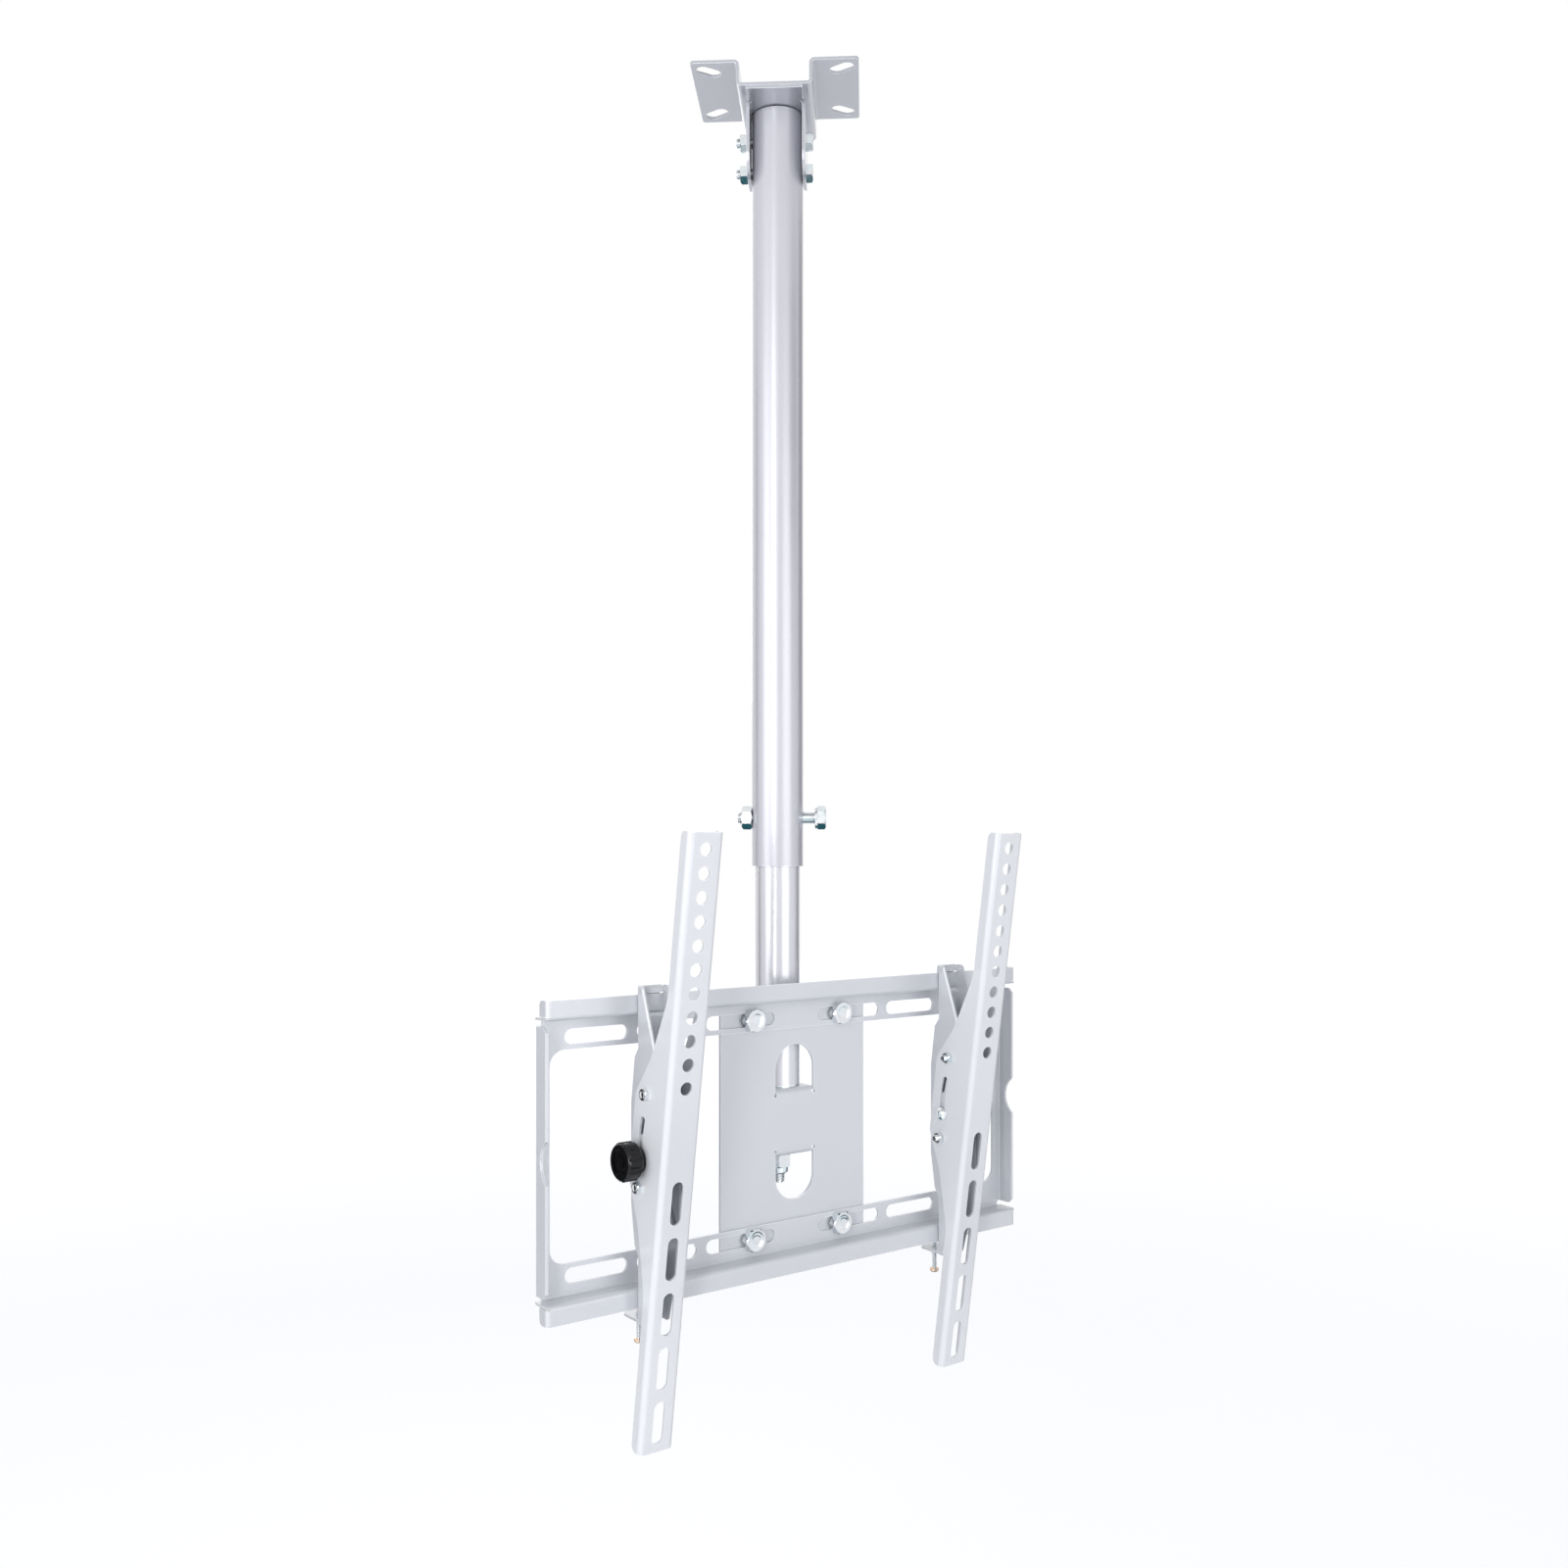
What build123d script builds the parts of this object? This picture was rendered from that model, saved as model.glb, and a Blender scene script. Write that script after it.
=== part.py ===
from build123d import *
import os
from math import atan2, cos, degrees, radians, sin, sqrt

# A ceiling mount for a television. The origin is on the ceiling, at the pole's axis, and +Z points up.
# The television hangs on the -Y side. The ceiling plate and the pole are drawn square to the axes and then
# turned about the pole's axis by ceiling_turn, because the frame below them can swivel.

# Ceiling plate: one sheet folded to a hat, with its two flanges against the ceiling.
plate_width = 128.0
plate_depth = 90.0
plate_sheet = 2.5
plate_drop = 20.0
flange_width = 35.0
ceiling_slot_x = 102.0
ceiling_slot_y = 64.0
ceiling_slot_width = 11.0
ceiling_slot_length = 20.0

# Clevis: a sheet welded under the plate, with two ears folded down and the pole bolted between them.
clevis_sheet = 2.5
ear_width = 48.0
ear_length = 56.5
ear_corner = 18.0
ear_gap = 0.25
bend_slit = 3.0
clevis_bolt = 8.0
clevis_bolt_drop = 22.5
clevis_bolt_pitch = 24.5
clevis_flats = 13.0
side_hole = 6.4
side_hole_drop = 3.8

# Pole: two tubes, one in the other, with a cross bolt that sets the height.
outer_diameter = 40.0
outer_wall = 2.2
outer_length = 587.1
inner_diameter = 35.0
inner_wall = 1.5
inner_length = 450.0
inner_shown = 169.9
height_bolt = 10.0
height_bolt_up = 37.9
height_pitch = 50.0
height_holes = 5
height_slack = 9.6
height_flats = 16.0
washer_sheet = 2.0

# Bolts and nuts: heights as a share of the thread, and what stands out past a nut.
head_share = 0.64
nut_share = 0.8
bolt_tail = 3.0
hole_play = 0.4

# Swivel: a bolt on the pole's axis through the centre plate's two tabs.
swivel_bolt = 12.0
swivel_flats = 18.5
plug_height = 8.0
thrust_sheet = 1.5
lock_nut_height = 15.5
swivel_tail = 7.0

# Television frame: one sheet, with its rails, lips and side flanges folded forward.
frame_width = 446.0
frame_height = 220.0
frame_sheet = 2.0
rail_front = 24.2
lip_step = 16.0
lip_height = 14.0
window_edge = 36.4
side_strip = 10.6
window_corner = 11.0
rail_slot_height = 10.4
rail_slot_drop = 27.4
rail_slots = [(20.5, 83.6), (91.8, 143.0), (150.9, 200.7)]
flange_relief = 4.0
flange_corner = 4.0
notch_height = 30.0
notch_depth = 8.0
end_tab_depth = 11.0
end_tab_width = 14.0
lip_slit = 0.6
bend = 1.0

# Centre plate behind the rails.
centre_sheet = 2.5
centre_half_width = 69.3
tab_width = 37.0
tab_length = 38.0
tab_spread = 51.6
tab_bend = 1.5
tab_play = 0.4
tab_relief = 3.2
frame_bolt = 10.0
frame_bolt_reach = 42.0
frame_flats = 16.5

# Tilting arms: channels with holes and slots on the face that meets the television.
arm_width = 28.0
arm_sheet = 2.0
arm_bend = 2.0
arm_above = 11.6
arm_below = 428.0
arm_profile = [(31.0, 42.0), (59.0, 26.0), (104.0, 11.0)]
arm_corner = 5.0
arm_sweep = 40.0
arm_shoulder = 12.0
arm_hole = 9.5
arm_hole_pitch = 16.5
arm_holes = 11
arm_slot_first = 246.5
arm_slot_pitch = 40.0
arm_slots = 5
arm_slot_length = 31.0
arm_slot_width = 9.0
left_place = -141.0
right_place = 145.0

# Tilt: pins in curved slots about an axis that lies in front of the arm.
tilt_now = 8.5
tilt_reach = 8.5
axis_ahead = 63.5
axis_down = 209.0
frame_to_arm = 38.3
pin = 5.0
pin_spread = 66.8
pin_depth = 28.5
pin_flats = 8.0
sleeve_wall = 2.0
clamp_bolt = 6.0
clamp_depth = 31.0
slot_play = 0.1
side_play = 0.3

# Hook brackets between the arms and the frame.
hook_sheet = 2.0
hook_rise = 6.3
hook_fall = 10.7
hook_reach = 22.0
hook_corner = 1.8
web_step = 9.5
web_above = 38.0
web_below = 34.0
step_height = 7.0
step_play = 0.7
toe_reach = 6.5
heel_reach = 10.0
heel_rise = 13.0
shoulder_reach = 13.5
shoulder_drop = 13.0
hook_rounding = [1.5, 2.0, 4.0, 10.0, 10.0, 4.0, 2.0, 1.5, 3.0, 6.0, 12.0, 12.0, 6.0, 3.0]
strip_rise = 1.0
strip_gap = 16.6
web_margin = 2.0
lip_play = 0.3
tongue_play = 1.2
tongue_drop = 9.5
foot_reach = 9.0
foot_rise = 8.0

# Knobs and safety screws.
knob_diameter = 27.5
knob_length = 16.0
knob_flutes = 10
knob_flute = 5.4
knob_neck = 18.0
knob_neck_length = 4.0
knob_edge = 1.6
knob_thread = 12.0
face_ring = 4.0
dome_diameter = 10.7
dome_height = 3.3
screw = 4.0
screw_length = 25.0
screw_drop = 13.2
screw_back = 16.6
screw_nut_flats = 7.0
screw_head = 7.2
screw_head_height = 3.2
cross_width = 0.9
cross_length = 4.4

ceiling_turn = -40.2
running = 0.05
low = (Align.CENTER, Align.CENTER, Align.MIN)

os.makedirs("parts", exist_ok=True)


def save(shape, node):
    export_step(shape, "parts/" + node + ".step")


def folded(points, sheet, inside):
    """The section of a folded sheet. The points run along the middle of the sheet."""
    line = FilletPolyline(*points, radius=inside + sheet / 2)
    return trace(line, line_width=sheet)


def side_face(corners, rounding):
    """A face seen from the side. A corner is a distance ahead of the pole and a height."""
    line = FilletPolyline(*[(-ahead, height) for ahead, height in corners], radius=rounding, close=True)
    return Plane.YZ * make_face(line)


def side_sheet(points, sheet, inside, width):
    """A sheet folded along the left-to-right direction, with points as in side_face."""
    section = folded([(-ahead, height) for ahead, height in points], sheet, inside)
    return extrude(Plane.YZ * section, width / 2, both=True)


def block(left, right, back, front, bottom, top):
    """A box between left and right, between two distances ahead of the pole, and between two heights."""
    middle = Pos((left + right) / 2, -(back + front) / 2, (bottom + top) / 2)
    return middle * Box(right - left, front - back, top - bottom)


def hexagon(flats, height, both_ends=False):
    """A hexagon that stands on z = 0, with its corners turned down."""
    bar = Cylinder(flats / sqrt(3), height, align=low)
    rims = bar.faces().sort_by(Axis.Z)[-1].edges()
    if both_ends:
        rims = rims + bar.faces().sort_by(Axis.Z)[0].edges()
    bar = chamfer(rims, 0.075 * flats)
    return bar & extrude(RegularPolygon(flats / 2, 6, major_radius=False), height)


def hex_bolt(shank, length, flats):
    """A bolt that points up from z = 0, with its head below."""
    rod = Cylinder(shank / 2, length, align=low)
    rod = chamfer(rod.faces().sort_by(Axis.Z)[-1].edges(), 0.09 * shank)
    return rod + Rot(180, 0, 0) * hexagon(flats, head_share * shank)


def hex_nut(thread, flats, play=0.0):
    """A nut that stands on z = 0."""
    height = nut_share * thread
    hole = Cylinder(thread / 2 + play, height, align=low)
    return hexagon(flats, height, both_ends=True) - hole


def ring(outside, inside, height):
    """A washer, disc or sleeve that stands on z = 0."""
    return Cylinder(outside / 2, height, align=low) - Cylinder(inside / 2, height, align=low)


def cross_drill(diameter, height):
    """A drill through the pole from left to right."""
    return Pos(0, 0, height) * Rot(0, 90, 0) * Cylinder(diameter / 2, 2 * outer_diameter)


to_left = Rot(0, -90, 0)
to_right = Rot(0, 90, 0)
turned = Rot(0, 0, ceiling_turn)

# Ceiling plate. The slots point at the pole, so that the plate can be turned a little on its screws.
half_web = plate_width / 2 - flange_width - plate_sheet / 2
middle_top = -plate_sheet / 2
middle_web = -plate_drop + plate_sheet / 2
hat = folded(
    [
        (-plate_width / 2, middle_top),
        (-half_web, middle_top),
        (-half_web, middle_web),
        (half_web, middle_web),
        (half_web, middle_top),
        (plate_width / 2, middle_top),
    ],
    plate_sheet,
    1.5,
)
ceiling_plate = extrude(Plane.XZ * hat, plate_depth / 2, both=True)
plate_corners = ceiling_plate.edges().filter_by(Axis.Z).filter_by(
    lambda edge: abs(edge.center().X) > plate_width / 2 - 0.1
)
ceiling_plate = fillet(plate_corners, 3.0)
slot_angle = degrees(atan2(ceiling_slot_y, ceiling_slot_x))
for x_side in (-1, 1):
    for y_side in (-1, 1):
        slot = SlotOverall(ceiling_slot_length, ceiling_slot_width, rotation=x_side * y_side * slot_angle)
        cutter = extrude(slot, 2 * plate_sheet, both=True)
        ceiling_plate -= Pos(x_side * ceiling_slot_x / 2, y_side * ceiling_slot_y / 2, 0) * cutter
save(turned * ceiling_plate, "ceiling_plate")

# Clevis. A slit at each end of a bend lets the ear fold down. The pole stops just below the bends.
clevis_top = -plate_drop
ear_inside = outer_diameter / 2 + ear_gap
ear_outside = ear_inside + clevis_sheet
ear_bottom = clevis_top - ear_length
ear_middle = ear_inside + clevis_sheet / 2
clevis_line = clevis_top - clevis_sheet / 2
clevis_section = folded(
    [
        (-ear_middle, ear_bottom),
        (-ear_middle, clevis_line),
        (ear_middle, clevis_line),
        (ear_middle, ear_bottom),
    ],
    clevis_sheet,
    bend,
)
clevis = extrude(Plane.XZ * clevis_section, ear_width / 2, both=True)
ear_ends = clevis.edges().filter_by(Axis.X).filter_by(lambda edge: edge.center().Z < ear_bottom + 0.1)
clevis = fillet(ear_ends, ear_corner)
clevis_base = Box(2 * ear_middle, plate_depth, clevis_sheet)
pole_top = clevis_top - clevis_sheet - bend
clevis_bolts = []
clevis_nuts = []
bolt_heights = [clevis_top - clevis_bolt_drop - step * clevis_bolt_pitch for step in range(2)]
for x_side in (-1, 1):
    for y_side in (-1, 1):
        slit_place = Pos(x_side * ear_middle, y_side * (ear_width + bend_slit) / 2, 0)
        clevis_base -= slit_place * Box(2 * clevis_sheet, bend_slit, 2 * clevis_sheet)
clevis += Pos(0, 0, clevis_line) * clevis_base
bolt_length = 2 * ear_outside + nut_share * clevis_bolt + bolt_tail
for height in bolt_heights:
    clevis -= cross_drill(clevis_bolt + hole_play, height)
    bolt = hex_bolt(clevis_bolt, bolt_length, clevis_flats)
    clevis_bolts.append(Pos(ear_outside, 0, height) * to_left * bolt)
    nut = hex_nut(clevis_bolt, clevis_flats)
    clevis_nuts.append(Pos(-ear_outside, 0, height) * to_left * nut)
save(turned * clevis, "pole_clevis")
save(turned * Compound(children=clevis_bolts), "clevis_bolts")
save(turned * Compound(children=clevis_nuts), "clevis_nuts")

# Outer tube, with holes for the clevis bolts and the height bolt.
pole_bottom = pole_top - outer_length
height_line = pole_bottom + height_bolt_up
outer_bore = outer_diameter - 2 * outer_wall
outer_tube = Pos(0, 0, pole_bottom) * ring(outer_diameter, outer_bore, outer_length)
for height in bolt_heights:
    outer_tube -= cross_drill(clevis_bolt + hole_play, height)
outer_tube -= cross_drill(height_bolt + hole_play, height_line)
side_place = Pos(0, 0, ear_bottom - side_hole_drop) * to_right
outer_tube -= side_place * Cylinder(side_hole / 2, outer_diameter, align=low)
save(turned * outer_tube, "outer_tube")

# Inner tube, with a row of holes to choose the height from.
inner_bottom = pole_bottom - inner_shown
inner_bore = inner_diameter - 2 * inner_wall
inner_tube = Pos(0, 0, inner_bottom) * ring(inner_diameter, inner_bore, inner_length)
for step in range(height_holes):
    inner_tube -= cross_drill(height_bolt + hole_play, height_line + step * height_pitch)
save(turned * inner_tube, "inner_tube")

# Height bolt. It is not drawn tight: some shank is bare between the pole and the washer.
head_at = outer_diameter / 2 + height_slack
height_bolt_length = head_at + washer_sheet + outer_diameter / 2 + nut_share * height_bolt + bolt_tail
height_place = turned * Pos(0, 0, height_line)
height_shape = hex_bolt(height_bolt, height_bolt_length, height_flats)
save(height_place * Pos(head_at + washer_sheet, 0, 0) * to_left * height_shape, "height_bolt")
height_washer = ring(height_flats + 2.0, height_bolt, washer_sheet)
save(height_place * Pos(head_at, 0, 0) * to_right * height_washer, "height_washer")
height_nut = hex_nut(height_bolt, height_flats)
save(height_place * Pos(-outer_diameter / 2, 0, 0) * to_left * height_nut, "height_nut")

# Swivel. The bolt's head sits on the plug inside the tube, and the lock nut is under the lower tab.
tab_top = inner_bottom - thrust_sheet
tab_bottom = tab_top - tab_spread
plug = Pos(0, 0, inner_bottom) * ring(inner_bore, swivel_bolt, plug_height)
save(plug, "tube_end_plug")
swivel_length = plug_height + thrust_sheet + tab_spread + washer_sheet + lock_nut_height + swivel_tail
swivel_shape = Rot(180, 0, 0) * hex_bolt(swivel_bolt, swivel_length, swivel_flats)
save(Pos(0, 0, inner_bottom + plug_height) * swivel_shape, "swivel_bolt")
save(Pos(0, 0, tab_top) * ring(inner_diameter, swivel_bolt, thrust_sheet), "thrust_washer")
swivel_washer = ring(2 * swivel_bolt, swivel_bolt, washer_sheet)
save(Pos(0, 0, tab_bottom - washer_sheet) * swivel_washer, "swivel_washer")
collar = Cylinder(0.46 * swivel_flats, lock_nut_height, align=low)
collar = fillet(collar.faces().sort_by(Axis.Z)[-1].edges(), 1.6)
lock_nut = hexagon(swivel_flats, 0.68 * lock_nut_height, both_ends=True) + collar
lock_nut -= Cylinder(swivel_bolt / 2, lock_nut_height, align=low)
save(Pos(0, 0, tab_bottom - washer_sheet) * Rot(180, 0, 0) * lock_nut, "swivel_nut")

# Frame. Each rail is one strip: rail face, ledge going forward, lip. The side flanges are folded forward too.
frame_middle = (tab_top + tab_bottom) / 2 - 1.1
frame_top = frame_middle + frame_height / 2
lip_front = rail_front + lip_step
lip_back = lip_front - frame_sheet
rail_back = rail_front - frame_sheet
half_width = frame_width / 2
ledge = frame_height / 2 - lip_height
window_top = frame_height / 2 - window_edge
window_side = half_width - side_strip
bend_middle = bend + frame_sheet / 2
frame = None
for up in (-1, 1):
    rail = side_sheet(
        [
            (lip_front - frame_sheet / 2, frame_middle + up * frame_height / 2),
            (lip_front - frame_sheet / 2, frame_middle + up * (ledge + frame_sheet / 2)),
            (rail_front - frame_sheet / 2, frame_middle + up * (ledge + frame_sheet / 2)),
            (rail_front - frame_sheet / 2, frame_middle + up * window_top),
        ],
        frame_sheet,
        bend,
        frame_width,
    )
    frame = rail if frame is None else frame + rail
flange_top = ledge - flange_relief
for side in (-1, 1):
    edge = side * (half_width - bend - frame_sheet)
    flange_line = side * (half_width - frame_sheet / 2)
    outer_end = side * (half_width + 1)
    frame -= block(
        min(edge, outer_end),
        max(edge, outer_end),
        rail_back - 1,
        rail_front + bend,
        frame_middle - ledge,
        frame_middle + ledge,
    )
    strip_section = folded(
        [
            (side * (window_side - window_corner), -(rail_front - frame_sheet / 2)),
            (flange_line, -(rail_front - frame_sheet / 2)),
            (flange_line, -lip_back),
        ],
        frame_sheet,
        bend,
    )
    strip = Pos(0, 0, frame_middle) * extrude(strip_section, flange_top, both=True)
    flange_corners = strip.edges().filter_by(Axis.X).filter_by(
        lambda line: abs(line.center().Y + lip_back) < 0.1
    )
    strip = chamfer(flange_corners, flange_corner)
    notch_radius = (notch_height**2 / 4 + notch_depth**2) / (2 * notch_depth)
    notch_centre = lip_back - notch_depth + notch_radius
    notch = Pos(side * half_width, -notch_centre, frame_middle) * to_right * Cylinder(notch_radius, 20)
    frame += strip - notch
    for up in (-1, 1):
        relief = Cylinder(0.55 * flange_relief, 3 * frame_sheet)
        relief_place = Pos(edge, -rail_front, frame_middle + up * (ledge - flange_relief / 2))
        frame -= relief_place * Rot(90, 0, 0) * relief
        tab_section = folded(
            [
                (side * (half_width - end_tab_width), -(lip_front - frame_sheet / 2)),
                (flange_line, -(lip_front - frame_sheet / 2)),
                (flange_line, -(lip_front - end_tab_depth)),
            ],
            frame_sheet,
            bend,
        )
        lip_low = frame_middle + up * (ledge + frame_sheet + lip_slit)
        lip_high = frame_middle + up * frame_height / 2
        end_tab = Pos(0, 0, min(lip_low, lip_high)) * extrude(tab_section, abs(lip_high - lip_low))
        round_off = end_tab.edges().filter_by(Axis.X).filter_by(
            lambda line: abs(line.center().Y + lip_front - end_tab_depth) < 0.1
            and abs(line.center().Z - lip_high) < 0.1
        )
        end_tab = fillet(round_off, flange_corner)
        lip_corner = block(
            min(side * (half_width - bend - frame_sheet), outer_end),
            max(side * (half_width - bend - frame_sheet), outer_end),
            lip_back - 1,
            lip_front + 1,
            min(lip_low, lip_high) - lip_slit,
            max(lip_low, lip_high) + lip_slit,
        )
        frame = frame - lip_corner + end_tab
window = Rectangle(2 * window_side, 2 * window_top)
window = fillet(window.vertices(), window_corner)
frame -= Pos(0, -rail_front, frame_middle) * Rot(90, 0, 0) * extrude(window, 2 * frame_sheet, both=True)
slot_line = frame_height / 2 - rail_slot_drop
for inner, outer in rail_slots:
    slot = extrude(SlotOverall(outer - inner, rail_slot_height), 2 * frame_sheet, both=True)
    for side in (-1, 1):
        for up in (-1, 1):
            spot = Pos(side * (inner + outer) / 2, -rail_front, frame_middle + up * slot_line)
            frame -= spot * Rot(90, 0, 0) * slot
save(frame, "tv_frame")

# Centre plate, with two tabs cut free on three sides and bent back around the swivel bolt.
centre_back = rail_back - centre_sheet
plate_line = rail_back - centre_sheet / 2
plate_high = ledge - bend - 0.5
centre_plate = block(
    -centre_half_width,
    centre_half_width,
    centre_back,
    rail_back,
    frame_middle - plate_high,
    frame_middle + plate_high,
)
for up, face_height in ((1, tab_top), (-1, tab_bottom)):
    tab_line = face_height - up * centre_sheet / 2
    bend_start = face_height - up * (tab_bend + centre_sheet)
    opening = Rectangle(tab_width, tab_length, align=(Align.CENTER, Align.MIN))
    top_corners = opening.vertices().group_by(Axis.Y)[-1]
    opening = fillet(top_corners, tab_width / 2 - 0.01)
    cutter = extrude(opening, 3 * centre_sheet, both=True)
    turn = Rot(90, 0, 0) if up == 1 else Rot(-90, 0, 0)
    centre_plate -= Pos(0, -plate_line, bend_start) * turn * cutter
    tab_back = plate_line + centre_sheet / 2 + tab_bend + centre_sheet / 2 - tab_length
    tab = side_sheet(
        [
            (plate_line, bend_start - up * 4.0),
            (plate_line, tab_line),
            (tab_back, tab_line),
        ],
        centre_sheet,
        tab_bend,
        tab_width - 2 * tab_play,
    )
    ends = tab.edges().filter_by(Axis.Z).filter_by(lambda line: abs(line.center().Y + tab_back) < 0.1)
    tab = fillet(ends, tab_width / 2 - tab_play - 0.01)
    for side in (-1, 1):
        relief_place = Pos(side * tab_width / 2, -plate_line, bend_start) * Rot(90, 0, 0)
        relief = relief_place * Cylinder(tab_relief / 2, 4 * centre_sheet)
        tab -= relief
        centre_plate -= relief
    centre_plate += tab
centre_plate -= Pos(0, 0, frame_middle) * Cylinder(swivel_bolt / 2 + running, frame_height)
frame_grip = frame_sheet + centre_sheet
frame_bolt_length = frame_grip + nut_share * frame_bolt + bolt_tail
frame_bolts = []
frame_nuts = []
for side in (-1, 1):
    for up in (-1, 1):
        spot = Pos(side * frame_bolt_reach, -rail_front, frame_middle + up * slot_line) * Rot(-90, 0, 0)
        centre_plate -= spot * Cylinder((frame_bolt + hole_play) / 2, 8 * centre_sheet)
        frame_bolts.append(spot * hex_bolt(frame_bolt, frame_bolt_length, frame_flats))
        frame_nuts.append(spot * Pos(0, 0, frame_grip) * hex_nut(frame_bolt, frame_flats))
save(centre_plate, "centre_plate")
save(Compound(children=frame_bolts), "frame_bolts")
save(Compound(children=frame_nuts), "frame_nuts")

# Tilt geometry. All of it hangs on one axis in front of the arms, level with the clamp bolt.
arm_face = lip_front + frame_to_arm
axis_out = arm_face + axis_ahead
axis_height = frame_middle - 4.0
clamp_radius = axis_ahead + clamp_depth
clamp_out = axis_out - clamp_radius
pin_radius = sqrt((axis_ahead + pin_depth) ** 2 + (pin_spread / 2) ** 2)
pin_angle = degrees(atan2(pin_spread / 2, axis_ahead + pin_depth))

# Tilting arm, drawn upright about its tilt axis, with +Y towards the pole. Each side is deepest at the
# axis. The arm_profile steps hold a distance from the axis, up or down, and the depth there.
arm_high = axis_down + arm_above
arm_low = axis_down - arm_below
arm_deep = arm_profile[0][1]
arm_shallow = arm_profile[-1][1]
arm_line = axis_ahead + arm_sheet / 2
arm_half = arm_width / 2 - arm_sheet / 2
arm_section = folded(
    [
        (-arm_half, axis_ahead + arm_deep),
        (-arm_half, arm_line),
        (arm_half, arm_line),
        (arm_half, axis_ahead + arm_deep),
    ],
    arm_sheet,
    arm_bend,
)
arm = Pos(0, 0, arm_low) * extrude(arm_section, arm_high - arm_low)
upper_steps = [(axis_ahead + depth, reach) for reach, depth in reversed(arm_profile)]
lower_steps = [(axis_ahead + depth, -reach) for reach, depth in arm_profile]
arm_rounding = [arm_sweep, arm_sweep, arm_shoulder]
arm_outline = FilletPolyline(
    (axis_ahead - arm_sheet, arm_high),
    (axis_ahead + arm_shallow, arm_high),
    *upper_steps,
    *lower_steps,
    (axis_ahead + arm_shallow, arm_low),
    (axis_ahead - arm_sheet, arm_low),
    radius=[0, arm_corner, *arm_rounding, *reversed(arm_rounding), arm_corner, 0],
    close=True,
)
arm &= extrude(Plane.YZ * make_face(arm_outline), arm_width, both=True)
for step in range(arm_holes):
    hole_place = Pos(0, axis_ahead, axis_down - step * arm_hole_pitch) * Rot(90, 0, 0)
    arm -= hole_place * Cylinder(arm_hole / 2, 4 * arm_sheet)
for step in range(arm_slots):
    slot = extrude(SlotOverall(arm_slot_length, arm_slot_width, rotation=90), 2 * arm_sheet, both=True)
    arm -= Pos(0, axis_ahead, axis_down - arm_slot_first - step * arm_slot_pitch) * Rot(90, 0, 0) * slot
clamp_arc = CenterArc((0, 0), clamp_radius, -tilt_reach, 2 * tilt_reach)
clamp_slot = SlotArc(clamp_arc, clamp_bolt + 2 * slot_play)
arm -= extrude(Plane.YZ * clamp_slot, arm_width, both=True)
pin_spots = []
for up in (-1, 1):
    out = pin_radius * cos(radians(pin_angle))
    pin_spots.append(Pos(0, out, up * pin_radius * sin(radians(pin_angle))))
for spot in pin_spots:
    arm -= spot * to_right * Cylinder(pin / 2 + running, 2 * arm_width)

# Hook bracket, drawn in place about its own middle plane.
hook_half = arm_width / 2 - arm_sheet - side_play
hook_inside = hook_half - hook_sheet
hook_back = lip_front + lip_play
hook_top = frame_top + hook_rise
hook_bottom = frame_middle - frame_height / 2 - hook_fall
deep_back = hook_back - web_step
low_edge = frame_middle - window_top
high_edge = frame_middle + window_top
wall_corners = [
    (hook_back, hook_top),
    (hook_back, high_edge - step_play),
    (hook_back - web_step / 2, high_edge - step_height),
    (deep_back, axis_height + web_above),
    (deep_back, axis_height - web_below),
    (hook_back - web_step / 2, low_edge + step_height),
    (hook_back, low_edge + step_play),
    (hook_back, hook_bottom),
    (hook_back + toe_reach, hook_bottom),
    (hook_back + heel_reach, hook_bottom + heel_rise),
    (hook_back + hook_reach, low_edge + step_play),
    (hook_back + hook_reach, high_edge + step_play),
    (hook_back + shoulder_reach, frame_top - shoulder_drop),
    (hook_back + toe_reach, hook_top),
]
wall = extrude(side_face(wall_corners, hook_rounding), hook_sheet)
hook = Pos(hook_inside, 0, 0) * wall + Pos(-hook_half, 0, 0) * wall
strip_bottom = frame_top + strip_rise
opening_bottom = strip_bottom - strip_gap
web_panels = [
    (hook_back, strip_bottom, hook_top - web_margin),
    (hook_back, high_edge - step_play, opening_bottom),
    (deep_back, axis_height - web_below + web_margin, axis_height + web_above - web_margin),
    (hook_back, hook_bottom + web_margin, low_edge + step_play),
]
web_half = hook_inside + hook_sheet / 4
for back, bottom, top in web_panels:
    hook += block(-web_half, web_half, back, back + hook_sheet, bottom, top)
hook_corners = hook.edges().filter_by(Axis.Z).filter_by(
    lambda line: abs(abs(line.center().X) - hook_half) < 0.01
    and (abs(line.center().Y + hook_back) < 0.01 or abs(line.center().Y + deep_back) < 0.01)
)
hook = fillet(hook_corners, hook_corner)
hook_line = hook_back + hook_sheet / 2
tongue_top = hook_top - hook_sheet / 2
tongue_back = lip_back - lip_play - hook_sheet / 2
tongue = side_sheet(
    [
        (hook_line, strip_bottom),
        (hook_line, tongue_top),
        (tongue_back, tongue_top),
        (tongue_back, frame_top - tongue_drop),
    ],
    hook_sheet,
    bend / 2,
    2 * hook_inside - 2 * tongue_play,
)
foot_line = hook_bottom + hook_sheet / 2
screw_out = lip_front - screw_back
foot = side_sheet(
    [
        (hook_line, hook_bottom + foot_rise),
        (hook_line, foot_line),
        (screw_out - foot_reach, foot_line),
    ],
    hook_sheet,
    bend,
    2 * hook_inside,
)
foot_ends = foot.edges().filter_by(Axis.Z).filter_by(
    lambda line: abs(line.center().Y + screw_out - foot_reach) < 0.1
)
foot = fillet(foot_ends, 2 * foot_reach / 3)
hook = hook + tongue + foot
hook -= Pos(0, -screw_out, foot_line) * Cylinder((screw + hole_play) / 2, 3 * hook_sheet)
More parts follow.
